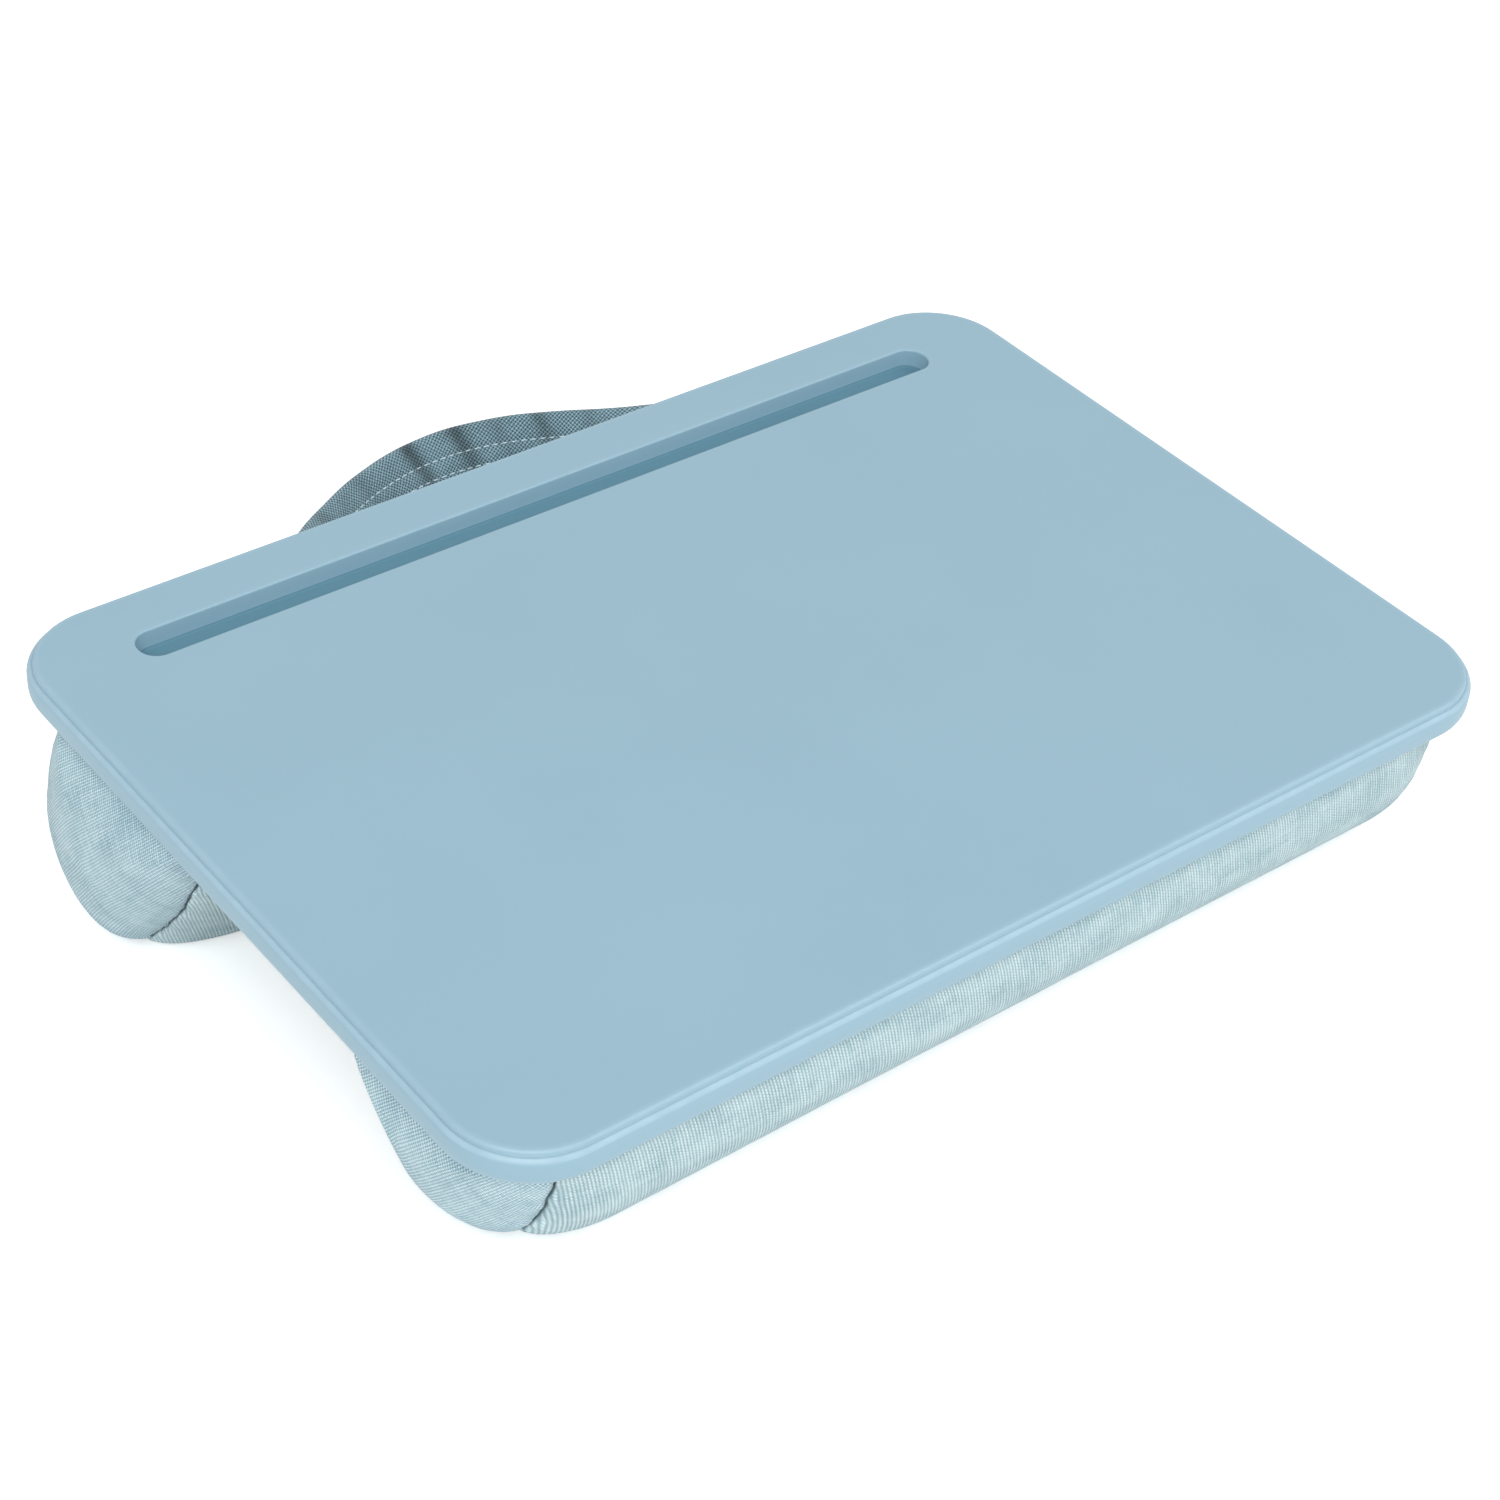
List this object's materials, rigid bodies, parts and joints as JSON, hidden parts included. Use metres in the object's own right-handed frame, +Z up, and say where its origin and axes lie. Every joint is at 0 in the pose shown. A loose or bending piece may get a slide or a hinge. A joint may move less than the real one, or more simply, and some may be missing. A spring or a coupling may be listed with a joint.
{
  "type": "lap tray with cushion",
  "caption": "Lap tray: a flat blue board with round corners and a device slot, on a wedge cushion of bead-filled bolsters, with a stitched strap handle at the rear.",
  "frame": {"origin": "On the floor, under the middle of the whole tray with its handle.", "axes": "+X along the tray's width, +Y from the user's side to the rear, +Z up."},
  "size_m": [0.372, 0.3162, 0.0896],
  "materials": {
    "blue_foil": "satin blue foil wrap",
    "fibreboard": "raw medium-density fibreboard",
    "backing": "matt balance foil",
    "closing_cloth": "plain woven cloth",
    "tack_strip": "grey-brown fibre strip",
    "cover_fabric": "slubbed pale aqua canvas",
    "liner": "white spun-bonded cloth",
    "bead_fill": "loose expanded beads",
    "strap_fabric": "grey-teal plain-woven strap",
    "webbing": "woven webbing",
    "plated_steel": "zinc-plated steel"
  },
  "bodies": {
    "tray": {"board_core": "fibreboard", "board_foil_wrap": "blue_foil", "board_backing_sheet": "backing", "cushion_closing_cloth": "closing_cloth", "cushion_staples": "plated_steel", "front_edge_tack_strip": "tack_strip", "front_valley_tack_strip": "tack_strip", "rear_valley_tack_strip": "tack_strip", "rear_edge_tack_strip": "tack_strip", "front_bolster_cover_main_panel": "cover_fabric", "front_bolster_cover_left_end": "cover_fabric", "front_bolster_cover_right_end": "cover_fabric", "front_bolster_bead_liner": "liner", "front_bolster_bead_fill": "bead_fill", "rear_bolster_cover_main_panel": "cover_fabric", "rear_bolster_cover_left_end": "cover_fabric", "rear_bolster_cover_right_end": "cover_fabric", "rear_bolster_bead_liner": "liner", "rear_bolster_bead_fill": "bead_fill", "handle_left_tail": "strap_fabric", "handle_right_tail": "strap_fabric", "handle_screws": "plated_steel", "handle_washers": "plated_steel"},
    "handle": {"handle_strap": "strap_fabric", "handle_webbing_core": "webbing"}
  },
  "joints": [
    {"name": "handle_swing", "type": "hinge", "parent": "tray", "child": "handle", "pos_m": [0, 0.10912, 0.07703], "axis": [1, 0, 0], "range_deg": [-60, 80]}
  ]
}
